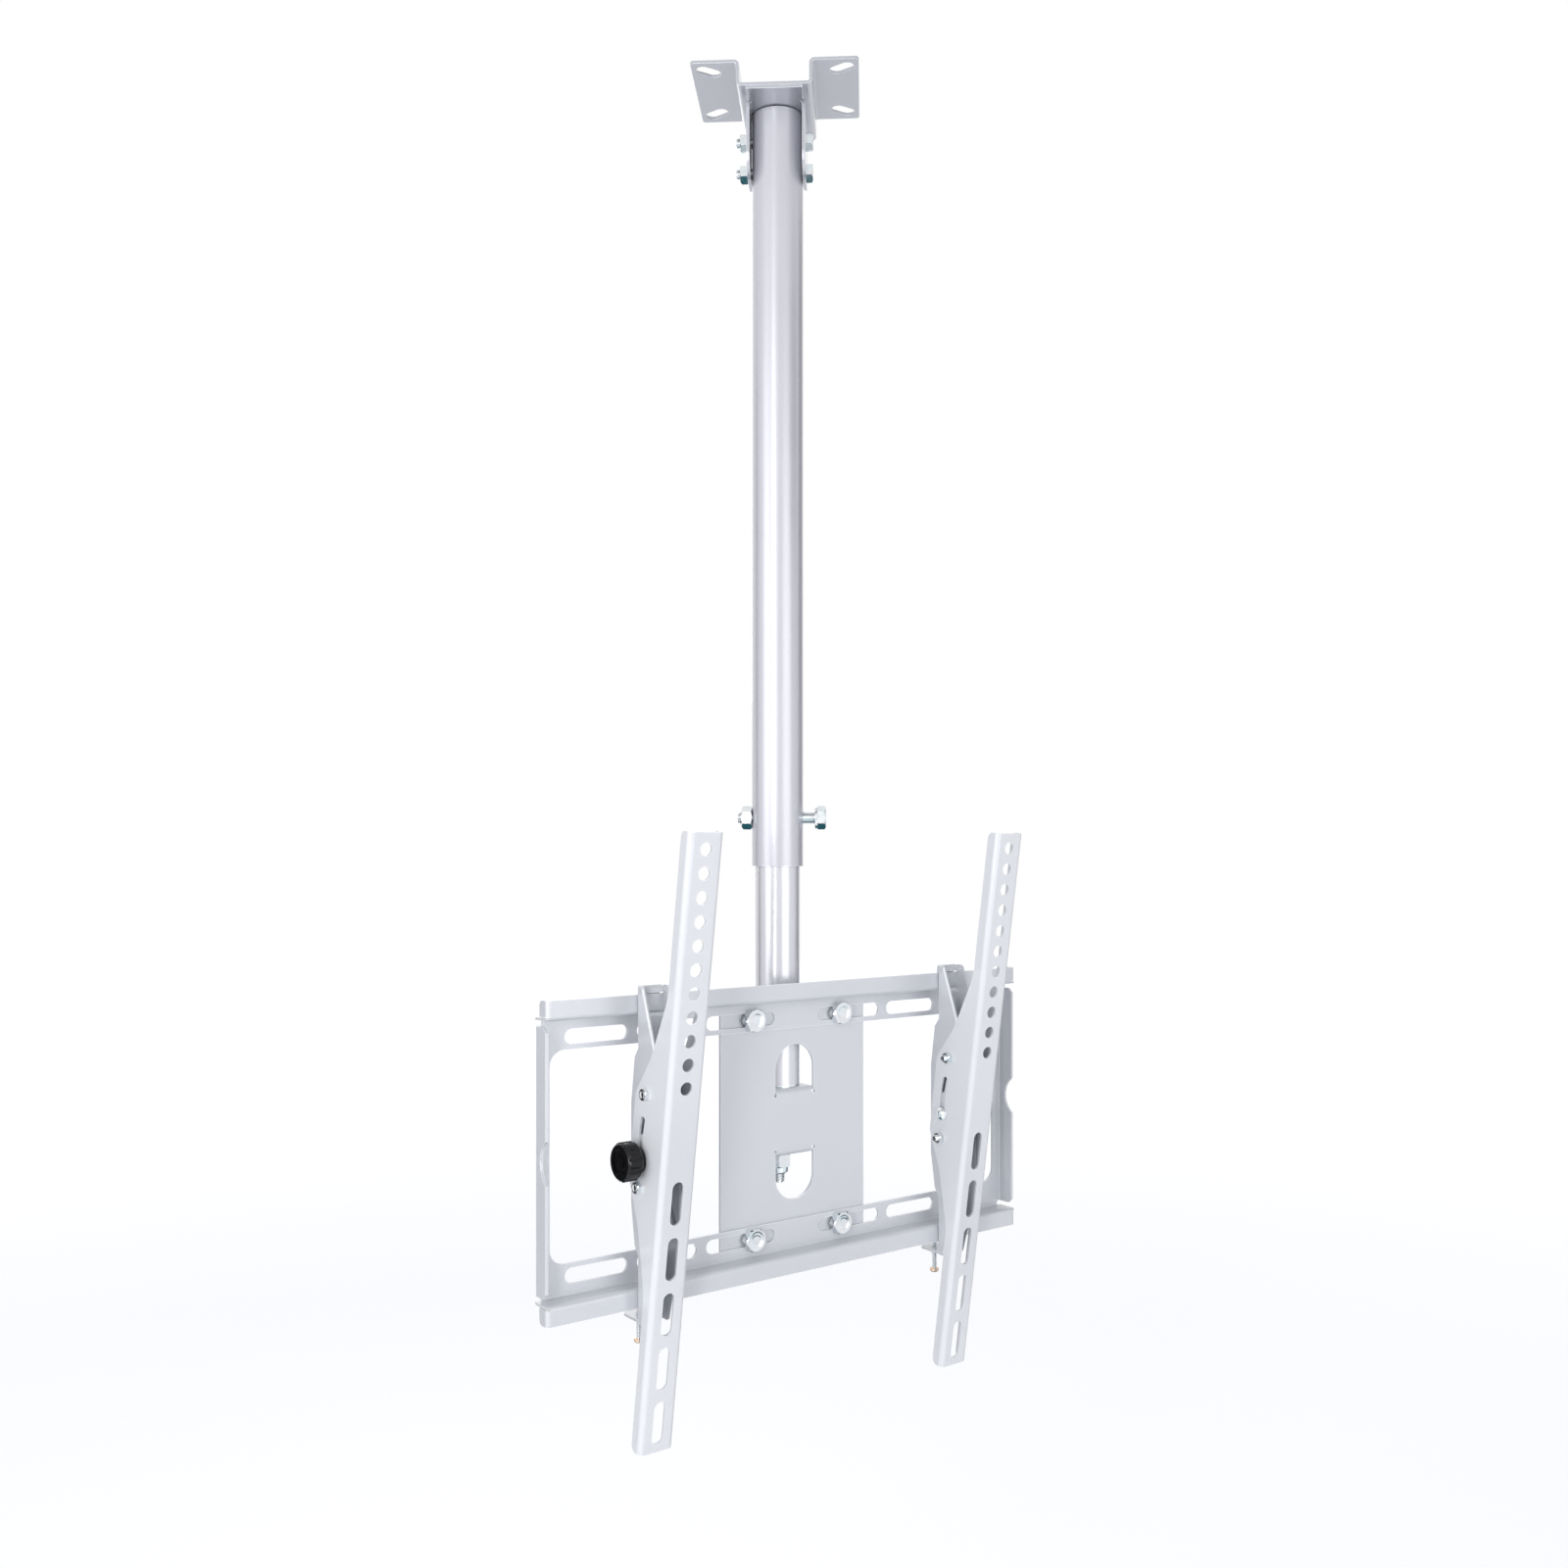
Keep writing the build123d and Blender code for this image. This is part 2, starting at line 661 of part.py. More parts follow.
hook -= Pos(0, -clamp_out, axis_height) * to_right * Cylinder(clamp_bolt / 2 + running, 2 * arm_width)
for start in (pin_angle - tilt_reach, -pin_angle - tilt_reach):
    track_arc = CenterArc((-axis_out, axis_height), pin_radius, start, 2 * tilt_reach)
    track = SlotArc(track_arc, pin + 2 * slot_play)
    hook -= extrude(Plane.YZ * track, arm_width, both=True)

# Small parts of one arm, for a knob on the left. The right arm's small parts are their mirror image.
head_face = arm_width / 2
pin_length = arm_width + nut_share * pin + bolt_tail
sleeve_half = hook_inside - slot_play
pins = []
pin_nuts = []
spacers = []
for spot in pin_spots:
    pins.append(spot * Pos(-head_face, 0, 0) * to_right * hex_bolt(pin, pin_length, pin_flats))
    pin_nuts.append(spot * Pos(head_face, 0, 0) * to_right * hex_nut(pin, pin_flats))
    sleeve = ring(pin + 2 * sleeve_wall, pin + 2 * running, 2 * sleeve_half)
    spacers.append(spot * Pos(-sleeve_half, 0, 0) * to_right * sleeve)

clamp_end = head_face + side_play
dome_radius = ((dome_diameter / 2) ** 2 + dome_height**2) / (2 * dome_height)
dome = Pos(0, 0, dome_height - dome_radius) * Sphere(dome_radius)
dome &= Cylinder(dome_diameter, dome_height, align=low)
clamp_rod = Cylinder(clamp_bolt / 2, 2 * clamp_end + knob_thread, align=low)
clamp_place = Pos(0, -clamp_out, axis_height)
knob_bolt = clamp_place * Pos(clamp_end, 0, 0) * (to_right * dome + to_left * clamp_rod)

knob = Cylinder(knob_neck / 2, knob_neck_length, align=low)
grip = Cylinder(knob_diameter / 2, knob_length - knob_neck_length, align=low)
grip = chamfer(grip.edges().filter_by(GeomType.CIRCLE), knob_edge)
flute_out = knob_diameter / 2 + knob_edge
for step in range(knob_flutes):
    flute_place = Rot(0, 0, 360 * step / knob_flutes) * Pos(flute_out, 0, 0)
    grip -= flute_place * Cylinder(knob_flute / 2, 3 * knob_length)
knob += Pos(0, 0, knob_neck_length) * grip
knob -= Pos(0, 0, knob_length - knob_edge) * ring(knob_neck, knob_neck - 2 * face_ring, knob_length)
knob -= Cylinder(clamp_bolt / 2 + running, knob_thread + hole_play, align=low)
knob = clamp_place * Pos(-clamp_end, 0, 0) * to_left * knob

nut_face = hook_bottom
screw_place = Pos(0, -screw_out, nut_face)
safety_nut = screw_place * Rot(180, 0, 0) * hex_nut(screw, screw_nut_flats, running)
pan = Cylinder(screw_head / 2, screw_head_height, align=low)
pan = fillet(pan.faces().sort_by(Axis.Z)[-1].edges(), screw_head_height / 2)
cross_arm = Box(cross_length, cross_width, screw_head_height)
for turn_by in (0, 90):
    pan -= Pos(0, 0, screw_head_height) * Rot(0, 0, turn_by) * cross_arm
screw_rod = Cylinder(screw / 2, screw_length, align=low)
safety_screw = screw_rod + Rot(180, 0, 0) * pan
safety_screw = screw_place * Pos(0, 0, -nut_share * screw - screw_drop) * safety_screw

# Put both arms in place, each tilted about its axis, and write their parts.
for name, place, side in (("left", left_place, 1), ("right", right_place, -1)):
    bracket_place = Pos(place, 0, 0)
    arm_place = bracket_place * Pos(0, -axis_out, axis_height) * Rot(tilt_now, 0, 0)
    arm_parts = {
        "tilt_arm": [arm],
        "tilt_pins": pins,
        "pin_nuts": pin_nuts,
        "pin_spacers": spacers,
    }
    bracket_parts = {
        "hook_bracket": [hook],
        "knob_bolt": [knob_bolt],
        "knob": [knob],
        "safety_nut": [safety_nut],
        "safety_screw": [safety_screw],
    }
    for at, parts in ((arm_place, arm_parts), (bracket_place, bracket_parts)):
        for part, shapes in parts.items():
            if side == -1:
                shapes = [mirror(shape, Plane.YZ) for shape in shapes]
            placed = [at * shape for shape in shapes]
            save(placed[0] if len(placed) == 1 else Compound(children=placed), name + "_" + part)
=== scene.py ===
from math import cos, pi, radians, sin
import bmesh
import bpy
from mathutils import Matrix, Vector


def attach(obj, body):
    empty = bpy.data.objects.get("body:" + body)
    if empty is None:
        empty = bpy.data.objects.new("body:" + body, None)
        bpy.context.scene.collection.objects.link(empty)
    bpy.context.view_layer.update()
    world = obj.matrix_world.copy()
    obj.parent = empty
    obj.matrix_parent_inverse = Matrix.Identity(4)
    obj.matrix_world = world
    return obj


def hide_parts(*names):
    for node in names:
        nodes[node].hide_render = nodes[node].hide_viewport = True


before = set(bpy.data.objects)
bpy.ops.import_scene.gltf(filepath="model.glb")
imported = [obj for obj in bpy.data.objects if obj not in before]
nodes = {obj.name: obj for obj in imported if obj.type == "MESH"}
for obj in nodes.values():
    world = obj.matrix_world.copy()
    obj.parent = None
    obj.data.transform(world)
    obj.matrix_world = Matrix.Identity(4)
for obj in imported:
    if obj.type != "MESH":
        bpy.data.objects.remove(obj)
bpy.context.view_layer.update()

# The place where the mount is shown: a white studio with a pale floor, well under the hanging arms.
# The camera stands a little over a metre from the pole, in front of it and to the left. It is held level and
# looks straight at the pole.
scene = bpy.context.scene
scene.view_settings.view_transform = "Standard"
heading = radians(-36.9)
level = radians(90)
eye = bpy.data.cameras.new("eye")
eye.sensor_width = 36.0
eye.lens = 33.28
eye.shift_y = 0.038
eye.clip_start = 0.05
eye_object = bpy.data.objects.new("eye", eye)
eye_object.location = (-0.6799, -0.9139, -0.593)
eye_object.rotation_euler = (level, 0, heading)
scene.collection.objects.link(eye_object)
scene.camera = eye_object


def card(name, size, place, facing, colour):
    """A flat square sheet that faces a point."""
    mesh = bpy.data.meshes.new(name)
    form = bmesh.new()
    bmesh.ops.create_grid(form, x_segments=1, y_segments=1, size=0.5)
    bmesh.ops.scale(form, verts=form.verts, vec=(size[0], size[1], 1))
    turn = (Vector(facing) - Vector(place)).to_track_quat("Z", "Y").to_matrix()
    bmesh.ops.rotate(form, verts=form.verts, matrix=turn)
    bmesh.ops.translate(form, verts=form.verts, vec=place)
    form.to_mesh(mesh)
    form.free()
    sheet = bpy.data.objects.new(name, mesh)
    scene.collection.objects.link(sheet)
    paint = bpy.data.materials.new(name + "_paint")
    paint.use_nodes = True
    look = paint.node_tree.nodes["Principled BSDF"]
    look.inputs["Base Color"].default_value = (*colour, 1)
    look.inputs["Roughness"].default_value = 0.9
    mesh.materials.append(paint)
    return sheet


def larger(tree, first, second):
    """The larger of two values."""
    choice = tree.nodes.new("ShaderNodeMath")
    choice.operation = "MAXIMUM"
    tree.links.new(first, choice.inputs[0])
    tree.links.new(second, choice.inputs[1])
    return choice.outputs[0]


def ramp(tree, value, start=0.0, stop=1.0, low=0.0, high=1.0):
    """Goes evenly from low to high while the value goes from start to stop, and is level on either side."""
    slope = tree.nodes.new("ShaderNodeMapRange")
    slope.inputs["From Min"].default_value = start
    slope.inputs["From Max"].default_value = stop
    slope.inputs["To Min"].default_value = low
    slope.inputs["To Max"].default_value = high
    tree.links.new(value, slope.inputs["Value"])
    return slope.outputs["Result"]


# The floor shows nearly white, also where metal mirrors it, and still takes the mount's soft shadow.
# Its glow grows with the distance, so that no edge shows where it ends.
floor_side = 24
floor_drop = 1.9
floor = card("floor", (floor_side, floor_side), (0, 0, -floor_drop), (0, 0, 0), (0.88, 0.88, 0.89))
floor_tree = floor.data.materials[0].node_tree
floor_ray = floor_tree.nodes.new("ShaderNodeLightPath")
floor_seen = larger(floor_tree, floor_ray.outputs["Is Camera Ray"], floor_ray.outputs["Is Glossy Ray"])
floor_place = floor_tree.nodes.new("ShaderNodeTexCoord")
floor_reach = floor_tree.nodes.new("ShaderNodeVectorMath")
floor_reach.operation = "LENGTH"
floor_tree.links.new(floor_place.outputs["Object"], floor_reach.inputs[0])
floor_glow = ramp(floor_tree, floor_reach.outputs["Value"], start=2.5, stop=7.0, low=0.44, high=0.62)
floor_lift = floor_tree.nodes.new("ShaderNodeMath")
floor_lift.operation = "MULTIPLY"
floor_tree.links.new(floor_seen, floor_lift.inputs[0])
floor_tree.links.new(floor_glow, floor_lift.inputs[1])
floor_look = floor_tree.nodes["Principled BSDF"]
floor_look.inputs["Emission Color"].default_value = (1, 1, 1, 1)
floor_tree.links.new(floor_lift.outputs[0], floor_look.inputs["Emission Strength"])

# Cards stand out of view round the mount, so that bright metal mirrors something dark or blue-green too.
# Their places, and the lamps', are measured across the view, along it and up.
across_view = Matrix.Rotation(heading, 3, "Z")
middle = Vector((0, 0, -0.6))
dark = (0.01, 0.01, 0.012)
teal = (0.01, 0.12, 0.15)
for card_name, size, place, colour in (
    ("dark_card_right", (0.9, 2.6), (1.55, 1.0, -0.6), dark),
    ("dark_card_left", (0.55, 2.2), (-1.75, 0.55, -0.7), dark),
    ("dark_card_above", (2.6, 0.4), (0.2, -1.0, 1.0), dark),
    ("dark_card_high_right", (1.3, 0.45), (1.75, -0.5, 0.3), dark),
    ("teal_card_below", (1.8, 1.3), (0.0, 0.3, -1.8), teal),
    ("teal_card_low_right", (1.1, 0.3), (1.75, -0.5, -1.75), teal),
):
    plain_card = card(card_name, size, across_view @ Vector(place), middle, colour)
    plain_card.visible_camera = False
    plain_card.visible_diffuse = False
    plain_card.visible_shadow = False

# The room is plain white to the eye and in metal, and gives the mount half of that as soft light.
room = bpy.data.worlds.new("white_room")
room.use_nodes = True
scene.world = room
room_tree = room.node_tree
room_tree.nodes.clear()
room_ray = room_tree.nodes.new("ShaderNodeLightPath")
camera_or_gloss = larger(room_tree, room_ray.outputs["Is Camera Ray"], room_ray.outputs["Is Glossy Ray"])
any_view = larger(room_tree, camera_or_gloss, room_ray.outputs["Is Transmission Ray"])
seen_white = room_tree.nodes.new("ShaderNodeBackground")
seen_white.inputs["Color"].default_value = (1, 1, 1, 1)
seen_white.inputs["Strength"].default_value = 1.0
room_light = room_tree.nodes.new("ShaderNodeBackground")
room_light.inputs["Color"].default_value = (0.93, 0.95, 1, 1)
room_light.inputs["Strength"].default_value = 0.5
pick = room_tree.nodes.new("ShaderNodeMixShader")
room_tree.links.new(any_view, pick.inputs[0])
room_tree.links.new(room_light.outputs[0], pick.inputs[1])
room_tree.links.new(seen_white.outputs[0], pick.inputs[2])
room_out = room_tree.nodes.new("ShaderNodeOutputWorld")
room_tree.links.new(pick.outputs[0], room_out.inputs[0])

for lamp_name, place, size, power in (
    ("key_strip", (-0.7, -2.3, -0.35), (0.45, 1.7), 20.0),
    ("window_left", (-1.9, -1.6, -0.2), (1.2, 1.5), 13.0),
    ("fill_right", (1.7, -1.9, -0.5), (1.6, 1.8), 15.0),
    ("rim_back", (-0.6, 2.2, 0.4), (1.4, 1.4), 6.0),
):
    lamp = bpy.data.lights.new(lamp_name, "AREA")
    lamp.shape = "RECTANGLE"
    lamp.size, lamp.size_y = size
    lamp.energy = power
    lamp_object = bpy.data.objects.new(lamp_name, lamp)
    lamp_place = across_view @ Vector(place)
    lamp_object.location = lamp_place
    lamp_object.rotation_euler = (middle - lamp_place).to_track_quat("-Z", "Y").to_euler()
    scene.collection.objects.link(lamp_object)

# Ceiling plate and clevis. Both are cut and folded from 2.5 mm sheet steel, spot welded together and powder
# coated. The coat is a silver grey with a fine orange peel, and a painted highlight makes it paler over its
# sharp edges.


def painted_highlight_group():
    """A mask that is 1 on sharp edges, where the coat gets a painted highlight."""
    tree = bpy.data.node_groups.new("painted_highlight_mask", "ShaderNodeTree")
    radius = tree.interface.new_socket("Radius", in_out="INPUT", socket_type="NodeSocketFloat")
    radius.default_value = 0.001
    tree.interface.new_socket("Highlight", in_out="OUTPUT", socket_type="NodeSocketFloat")
    given = tree.nodes.new("NodeGroupInput")
    result = tree.nodes.new("NodeGroupOutput")
    rounded = tree.nodes.new("ShaderNodeBevel")
    rounded.samples = 6
    surface = tree.nodes.new("ShaderNodeNewGeometry")
    likeness = tree.nodes.new("ShaderNodeVectorMath")
    likeness.operation = "DOT_PRODUCT"
    tree.links.new(given.outputs["Radius"], rounded.inputs["Radius"])
    tree.links.new(rounded.outputs["Normal"], likeness.inputs[0])
    tree.links.new(surface.outputs["Normal"], likeness.inputs[1])
    tree.links.new(ramp(tree, likeness.outputs["Value"], start=1.0, stop=0.86), result.inputs["Highlight"])
    return tree


def noise(tree, place, scale, detail):
    """Cloudy noise that stays with the piece. The larger the scale, the finer it is."""
    texture = tree.nodes.new("ShaderNodeTexNoise")
    texture.inputs["Scale"].default_value = scale
    texture.inputs["Detail"].default_value = detail
    tree.links.new(place.outputs["Object"], texture.inputs["Vector"])
    return texture


def coat_grain_group():
    """The coat's orange peel, its metal flakes and slow patches of tone."""
    tree = bpy.data.node_groups.new("coat_grain", "ShaderNodeTree")
    peel_scale = tree.interface.new_socket("Peel Scale", in_out="INPUT", socket_type="NodeSocketFloat")
    peel_scale.default_value = 900.0
    for output in ("Height", "Speckle", "Cloud"):
        tree.interface.new_socket(output, in_out="OUTPUT", socket_type="NodeSocketFloat")
    given = tree.nodes.new("NodeGroupInput")
    result = tree.nodes.new("NodeGroupOutput")
    place = tree.nodes.new("ShaderNodeTexCoord")
    peel = noise(tree, place, scale=peel_scale.default_value, detail=2.0)
    speckle = noise(tree, place, scale=3200.0, detail=1.0)
    cloud = noise(tree, place, scale=14.0, detail=3.0)
    tree.links.new(given.outputs["Peel Scale"], peel.inputs["Scale"])
    tree.links.new(peel.outputs["Fac"], result.inputs["Height"])
    tree.links.new(speckle.outputs["Fac"], result.inputs["Speckle"])
    tree.links.new(cloud.outputs["Fac"], result.inputs["Cloud"])
    return tree


def blend(tree, share, first, second):
    """Mixes two colours. Each is three numbers, or comes from another node."""
    mix = tree.nodes.new("ShaderNodeMix")
    mix.data_type = "RGBA"
    share_socket, first_socket, second_socket = mix.inputs[0], mix.inputs[6], mix.inputs[7]
    tree.links.new(share, share_socket)
    for colour, socket in ((first, first_socket), (second, second_socket)):
        if isinstance(colour, tuple):
            socket.default_value = (*colour, 1)
        else:
            tree.links.new(colour, socket)
    return mix.outputs[2]


painted_highlight_mask = painted_highlight_group()
coat_grain = coat_grain_group()


def powder_coat(name, colour, flake_and_highlight_colour, metallic, roughness, gloss):
    """A silvery coat, a little cloudy, with paler flakes, a painted highlight on its sharp edges and a fine
    orange peel.
    """
    paint = bpy.data.materials.new(name)
    paint.use_nodes = True
    tree = paint.node_tree
    look = tree.nodes["Principled BSDF"]
    look.inputs["Metallic"].default_value = metallic
    look.inputs["IOR"].default_value = 1.5
    look.inputs["Coat Weight"].default_value = gloss
    look.inputs["Coat Roughness"].default_value = 0.1
    edge = tree.nodes.new("ShaderNodeGroup")
    edge.node_tree = painted_highlight_mask
    grain = tree.nodes.new("ShaderNodeGroup")
    grain.node_tree = coat_grain
    cloud = grain.outputs["Cloud"]
    darker = tuple(0.95 * part for part in colour)
    flakes = ramp(tree, grain.outputs["Speckle"], start=0.58, stop=0.72, high=0.35)
    flaked = blend(tree, flakes, blend(tree, cloud, darker, colour), flake_and_highlight_colour)
    # Sharp edges are painted in the pale colour here, as a painted highlight.
    highlighted = blend(tree, edge.outputs["Highlight"], flaked, flake_and_highlight_colour)
    tree.links.new(highlighted, look.inputs["Base Color"])
    patchy = 0.05
    rough = ramp(tree, cloud, low=roughness - patchy, high=roughness + patchy)
    tree.links.new(rough, look.inputs["Roughness"])
    bump = tree.nodes.new("ShaderNodeBump")
    bump.inputs["Strength"].default_value = 0.22
    bump.inputs["Distance"].default_value = 0.0002
    tree.links.new(grain.outputs["Height"], bump.inputs["Height"])
    tree.links.new(bump.outputs["Normal"], look.inputs["Normal"])
    return paint


def merged_copy(node):
    """The CAD node's mesh as one closed skin of large faces."""
    same_point = 0.000002
    nearly_flat = radians(0.6)
    form = bmesh.new()
    form.from_mesh(nodes[node].data)
    bmesh.ops.remove_doubles(form, verts=form.verts, dist=same_point)
    bmesh.ops.dissolve_limit(form, angle_limit=nearly_flat, verts=form.verts, edges=form.edges)
    return form


def shade_smooth(mesh):
    """Shades a mesh smoothly, but for its creases."""
    for face in mesh.polygons:
        face.use_smooth = True
    mesh.set_sharp_from_angle(angle=radians(40))


def finished(node, body, material, rounding, form=None):
    """Rounds a node's sharp edges, as tumbling and plating or a coat leave them, and puts it in place."""
    if form is None:
        form = merged_copy(node)
    sharp = radians(35)
    sharp_lines = [line for line in form.edges if line.is_manifold and line.calc_face_angle(0) > sharp]
    bmesh.ops.bevel(
        form, geom=sharp_lines, offset=rounding, offset_type="OFFSET", segments=2, profile=0.5,
        affect="EDGES", clamp_overlap=True, material=-1,
    )
    mesh = bpy.data.meshes.new(node + "_finished")
    form.to_mesh(mesh)
    form.free()
    shade_smooth(mesh)
    mesh.materials.append(material)
    piece = bpy.data.objects.new(node + "_finished", mesh)
    scene.collection.objects.link(piece)
    even = piece.modifiers.new("even_shading", "WEIGHTED_NORMAL")
    even.keep_sharp = True
    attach(piece, body)
    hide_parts(node)
    return piece


# The pale second colour goes to the coat's flakes and, as a painted highlight, to its sharp edges.
bracket_coat = powder_coat(
    "bracket_coat", colour=(0.5, 0.51, 0.56), flake_and_highlight_colour=(0.9, 0.91, 0.94),
    metallic=0.45, roughness=0.25, gloss=0.8,
)
for node in ("ceiling_plate", "pole_clevis"):
    finished(node, "ceiling_pole", bracket_coat, rounding=0.0004)

# Clevis bolts and nuts. They are M8 steel, cold headed, with a rolled thread, and bright zinc plated.
# The plating mirrors the studio in hard patches, is a little cloudy, and has a blue-green bloom in places.
plate_turn = radians(-40.2)
to_nuts = Vector((-cos(plate_turn), -sin(plate_turn), 0))


def zinc_plate(name, colour, bloom_colour, roughness):
    """Plated or bare metal, cloudy, with patches of bloom."""
    metal = bpy.data.materials.new(name)
    metal.use_nodes = True
    tree = metal.node_tree
    look = tree.nodes["Principled BSDF"]
    look.inputs["Metallic"].default_value = 1.0
    place = tree.nodes.new("ShaderNodeTexCoord")
    cloud = noise(tree, place, scale=260.0, detail=4.0).outputs["Fac"]
    darker = tuple(0.8 * part for part in colour)
    bloom = noise(tree, place, scale=95.0, detail=2.0).outputs["Fac"]
    patches = ramp(tree, bloom, start=0.5, stop=0.75, high=0.5)
    bloomed = blend(tree, patches, blend(tree, cloud, darker, colour), bloom_colour)
    tree.links.new(bloomed, look.inputs["Base Color"])
    rough = ramp(tree, cloud, low=roughness - 0.06, high=roughness + 0.08)
    tree.links.new(rough, look.inputs["Roughness"])
    return metal


on_plane = 1e-7


def rolled_thread(thread, pitch, length):
    """A threaded rod from z = 0 up, with a chamfered tip."""
    steps_per_turn = 18
    crest = thread / 2
    root = crest - 0.55 * pitch
    half_crest = 0.08 * pitch
    same_point = 0.02 * pitch
    profile = [(root, -pitch), (crest, -pitch / 2 - half_crest), (crest, -pitch / 2 + half_crest), (root, 0)]
    form = bmesh.new()
    points = [form.verts.new((radius, 0, height)) for radius, height in profile]
    lines = [form.edges.new(pair) for pair in zip(points, points[1:])]
    turns = int(length / pitch) + 2
    bmesh.ops.spin(
        form, geom=points + lines, cent=(0, 0, 0), axis=(0, 0, 1), dvec=(0, 0, pitch / steps_per_turn),
        angle=2 * pi * turns, steps=turns * steps_per_turn, use_merge=False,
    )
    bmesh.ops.remove_doubles(form, verts=form.verts, dist=same_point)
    for height, side in ((0, -1), (length, 1)):
        bmesh.ops.bisect_plane(
            form, geom=form.verts[:] + form.edges[:] + form.faces[:], dist=on_plane,
            plane_co=(0, 0, height), plane_no=(0, 0, side), clear_outer=True,
        )
    bmesh.ops.holes_fill(form, edges=[line for line in form.edges if line.is_boundary], sides=0)
    for point in form.verts:
        radius = point.co.xy.length
        allowed = root + max(length - point.co.z, 0)
        if radius > allowed:
            point.co.xy *= allowed / radius
    bmesh.ops.recalc_face_normals(form, faces=form.faces)
    return form


def separate_solids(form):
    """The points of each solid in a mesh, as one list for each."""
    seen = set()
    solids = []
    for first in form.verts:
        if first in seen:
            continue
        seen.add(first)
        solid = [first]
        for point in solid:
            for line in point.link_edges:
                other = line.other_vert(point)
                if other not in seen:
                    seen.add(other)
                    solid.append(other)
        solids.append(solid)
    return solids


# The dish in a bolt's head goes inwards and down in these steps, as shares of the thread.
dish_steps = ((0.2, 0.0), (0.12, 0.035), (0.12, 0.02), (0.1, 0.01))


def threaded(
    node, body, tip_way, material, thread, pitch, rounding, dished=True, shank_material=None
):
    """The node's bolts or screws. Smooth shanks become rolled threads, and flat heads get a dish."""
    hair = 0.00002
    square_on = 0.99
    widest_shank = 0.56 * thread
    form = merged_copy(node)
    shanks = []
    for solid in separate_solids(form):
        along = [point.co.dot(tip_way) for point in solid]
        tip = max(along)
        end_ring = [point.co for point, height in zip(solid, along) if height > tip - hair]
        centre = sum(end_ring, Vector()) / len(end_ring)
        neck = max(
            height for point, height in zip(solid, along)
            if (point.co - centre - tip_way * (height - tip)).length > widest_shank
        )
        shanks.append((centre + tip_way * (neck - tip), tip - neck))
        faces = list(dict.fromkeys(face for point in solid for face in point.link_faces))
        if dished:
            head_end = min(along) + hair / 2
            crown = [
                face for face in faces
                if face.normal.dot(tip_way) < -square_on
                and face.calc_center_median().dot(tip_way) < head_end
            ]
            for inwards, down in dish_steps:
                bmesh.ops.inset_region(form, faces=crown, thickness=inwards * thread, depth=-down * thread)
        lines = list(dict.fromkeys(line for point in solid for line in point.link_edges))
        bmesh.ops.bisect_plane(
            form, geom=solid + lines + faces, dist=on_plane, plane_no=tip_way, clear_outer=True,
            plane_co=centre + tip_way * (neck - tip + hair),
        )
        bmesh.ops.holes_fill(form, edges=[line for line in form.edges if line.is_boundary], sides=0)
    piece = finished(node, body, material, rounding, form)
    if shank_material:
        piece.data.materials.append(shank_material)
    turn = Vector((0, 0, 1)).rotation_difference(tip_way).to_matrix().to_4x4()
    whole = bmesh.new()
    whole.from_mesh(piece.data)
    sunk = 0.2 * pitch
    for start, length in shanks:
        rod = rolled_thread(thread, pitch, length + sunk)
        bmesh.ops.transform(rod, matrix=Matrix.Translation(start - tip_way * sunk) @ turn, verts=rod.verts)
        rod_mesh = bpy.data.meshes.new("rod")
        rod.to_mesh(rod_mesh)
        rod.free()
        shade_smooth(rod_mesh)
        for face in rod_mesh.polygons:
            face.material_index = 1 if shank_material else 0
        whole.from_mesh(rod_mesh)
        bpy.data.meshes.remove(rod_mesh)
    whole.to_mesh(piece.data)
    whole.free()


zinc = zinc_plate("bright_zinc", colour=(0.83, 0.85, 0.87), bloom_colour=(0.6, 0.78, 0.82), roughness=0.14)
threaded(
    "clevis_bolts", "ceiling_pole", to_nuts, zinc,
    thread=0.008, pitch=0.00125, rounding=0.00015,
)
finished("clevis_nuts", "ceiling_pole", zinc, rounding=0.00015)

# Pole. Two steel tubes slide one in the other. They are coated like the bracket, but the coat is smoother
# on them, so they show a long soft highlight. The inner one is the paler of the two.
# In both pole coats, the pale second colour goes to the flakes and, as a painted highlight, to sharp edges.
pole_coat = powder_coat(
    "pole_coat", colour=(0.6, 0.602, 0.65), flake_and_highlight_colour=(0.9, 0.9, 0.94),
    metallic=0.35, roughness=0.32, gloss=0.2,
)
inner_coat = powder_coat(
    "inner_coat", colour=(0.71, 0.712, 0.75), flake_and_highlight_colour=(0.9, 0.9, 0.94),
    metallic=0.35, roughness=0.24, gloss=0.3,
)
for node, coat in (("outer_tube", pole_coat), ("inner_tube", inner_coat)):
    finished(node, "ceiling_pole", coat, rounding=0.0004)

# Height bolt. An M10 bolt crosses both tubes and isn't drawn tight, so part of its thread shows.
# It has a plain washer under its head and a nut on the far side, all zinc plated.
threaded(
    "height_bolt", "ceiling_pole", to_nuts, zinc,
    thread=0.01, pitch=0.0015, rounding=0.00018,
)
for node in ("height_washer", "height_nut"):
    finished(node, "ceiling_pole", zinc, rounding=0.00015)

# Swivel. An M12 bolt hangs from a plain steel plug in the tube's end. It carries the frame on a washer and
# a lock nut, with a second washer between the tube and the upper tab.
threaded(
    "swivel_bolt", "ceiling_pole", Vector((0, 0, -1)), zinc,
    thread=0.012, pitch=0.00175, rounding=0.00018,
)
for node in ("thrust_washer", "swivel_washer", "swivel_nut"):
    finished(node, "ceiling_pole", zinc, rounding=0.00015)
plain_steel = zinc_plate(
    "plain_steel", colour=(0.5, 0.5, 0.51), bloom_colour=(0.42, 0.38, 0.35), roughness=0.38
)
finished("tube_end_plug", "ceiling_pole", plain_steel, rounding=0.0002)

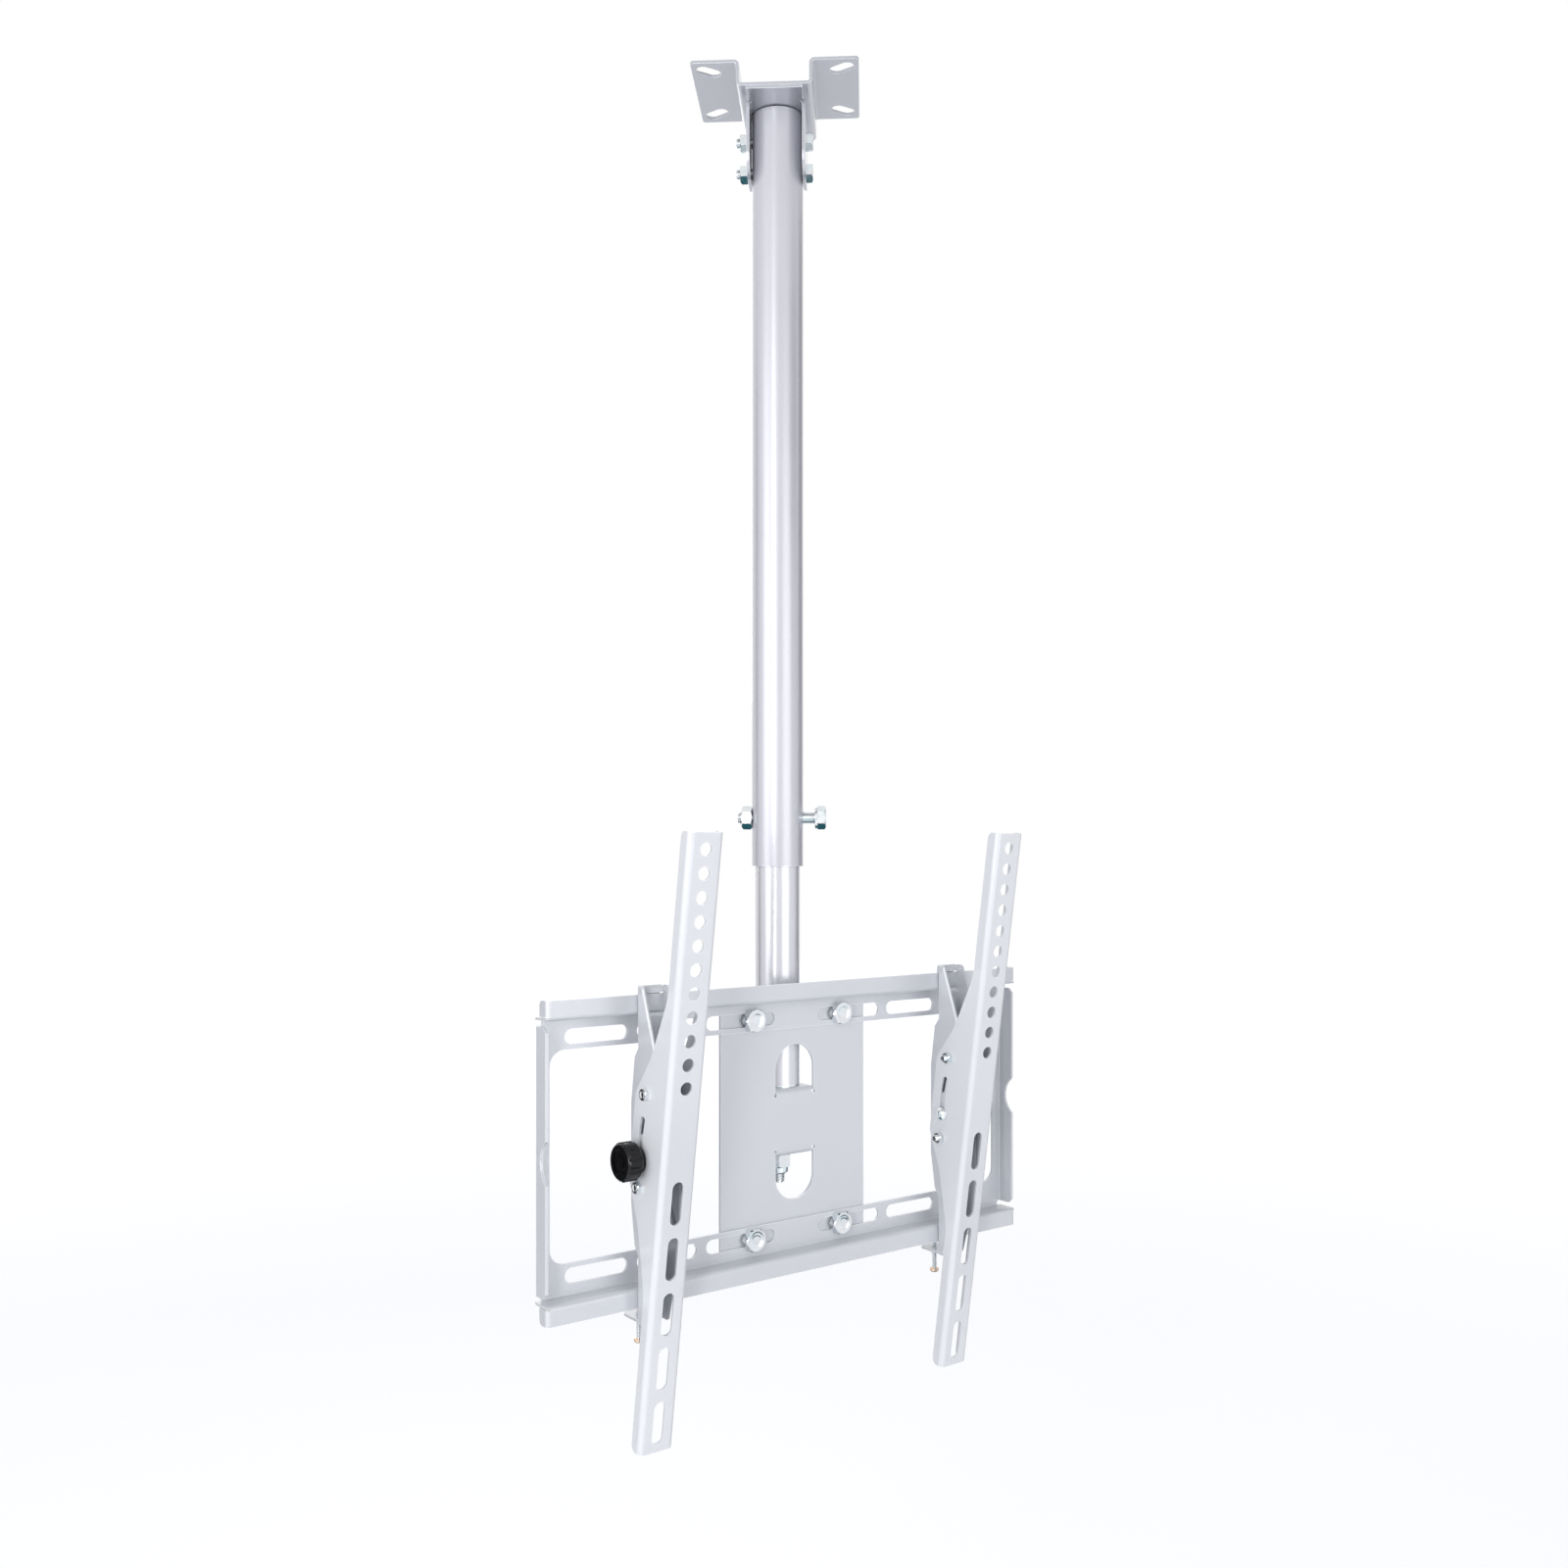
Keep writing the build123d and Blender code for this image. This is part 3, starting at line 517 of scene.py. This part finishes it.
# Frame and centre plate. The frame is folded from one 2 mm sheet with punched slots, and the centre plate
# is 2.5 mm sheet with two tabs bent back. Both have a lighter powder coat than the ceiling bracket.
# The pale second colour goes to the flakes and, as a painted highlight, to sharp edges.
frame_coat = powder_coat(
    "frame_coat", colour=(0.68, 0.695, 0.73), flake_and_highlight_colour=(0.94, 0.95, 0.97),
    metallic=0.2, roughness=0.34, gloss=0.4,
)
for node in ("tv_frame", "centre_plate"):
    finished(node, "screen_frame", frame_coat, rounding=0.0004)

# Frame bolts and nuts. Four M10 bolts clamp the rails to the centre plate, with their heads to the front.
# They are zinc plated like the rest.
threaded(
    "frame_bolts", "screen_frame", Vector((0, 1, 0)), zinc,
    thread=0.01, pitch=0.0015, rounding=0.00025,
)
finished("frame_nuts", "screen_frame", zinc, rounding=0.00015)

# Hook brackets. Each is a channel folded from 2 mm sheet that hangs over the upper rail and has a foot under
# the lower one. Its two walls have curved slots for the arm's pins. The coat is the frame's.
ways_inwards = {"left": Vector((1, 0, 0)), "right": Vector((-1, 0, 0))}
for side in ways_inwards:
    finished(side + "_hook_bracket", side + "_bracket", frame_coat, rounding=0.0003)

# Tilting arms. Each is a channel folded from 2 mm sheet, with holes and slots for the television's screws in
# its face and a curved slot for the clamp bolt in its sides. Its coat is the palest and least metallic.
# The pale second colour goes to the flakes and, as a painted highlight, to sharp edges.
arm_coat = powder_coat(
    "arm_coat", colour=(0.8, 0.815, 0.845), flake_and_highlight_colour=(0.96, 0.96, 0.98),
    metallic=0.05, roughness=0.3, gloss=0.4,
)
for side in ways_inwards:
    finished(side + "_tilt_arm", side + "_arm", arm_coat, rounding=0.0004)

# Tilt pins. Two M5 bolts cross each arm and run in the bracket's curved slots, with their heads outside and
# their nuts inside. A sleeve on each pin stands between the bracket's walls. All of it is zinc plated.
for side, inwards in ways_inwards.items():
    threaded(
        side + "_tilt_pins", side + "_arm", inwards, zinc,
        thread=0.005, pitch=0.0008, rounding=0.00012,
    )
    for node in ("_pin_nuts", "_pin_spacers"):
        finished(side + node, side + "_arm", zinc, rounding=0.00012)

# Knob bolts. An M6 bolt with a domed head goes through each bracket and its arm's curved slot from the
# inside, and clamps the tilt. It is zinc plated.
for side, inwards in ways_inwards.items():
    threaded(
        side + "_knob_bolt", side + "_bracket", -inwards, zinc,
        thread=0.006, pitch=0.001, rounding=0.00012, dished=False,
    )

# Knobs. They are moulded in black plastic with flutes for the fingers, and screw on the knob bolts outside
# the arms. The mould leaves them glossy.


def glossy_plastic(name, colour):
    """Hard black plastic with an uneven gloss."""
    plastic = bpy.data.materials.new(name)
    plastic.use_nodes = True
    tree = plastic.node_tree
    look = tree.nodes["Principled BSDF"]
    look.inputs["Base Color"].default_value = (*colour, 1)
    look.inputs["IOR"].default_value = 1.38
    place = tree.nodes.new("ShaderNodeTexCoord")
    grain = noise(tree, place, scale=420.0, detail=3.0).outputs["Fac"]
    tree.links.new(ramp(tree, grain, low=0.08, high=0.18), look.inputs["Roughness"])
    return plastic


black_plastic = glossy_plastic("black_plastic", colour=(0.005, 0.005, 0.006))
for side in ways_inwards:
    finished(side + "_knob", side + "_knob_body", black_plastic, rounding=0.0005)

# Safety screws and nuts. An M4 screw stands under each bracket's foot, in a nut that is welded to the foot,
# and keeps the bracket from lifting off the rail. The screw's pan head has a coppery tint.
coppery_zinc = zinc_plate(
    "coppery_zinc", colour=(0.86, 0.66, 0.5), bloom_colour=(0.8, 0.5, 0.32), roughness=0.2
)
for side in ways_inwards:
    threaded(
        side + "_safety_screw", side + "_screw_body", Vector((0, 0, 1)), coppery_zinc,
        thread=0.004, pitch=0.0007, rounding=0.0001, dished=False, shank_material=zinc,
    )
    finished(side + "_safety_nut", side + "_bracket", zinc, rounding=0.0001)
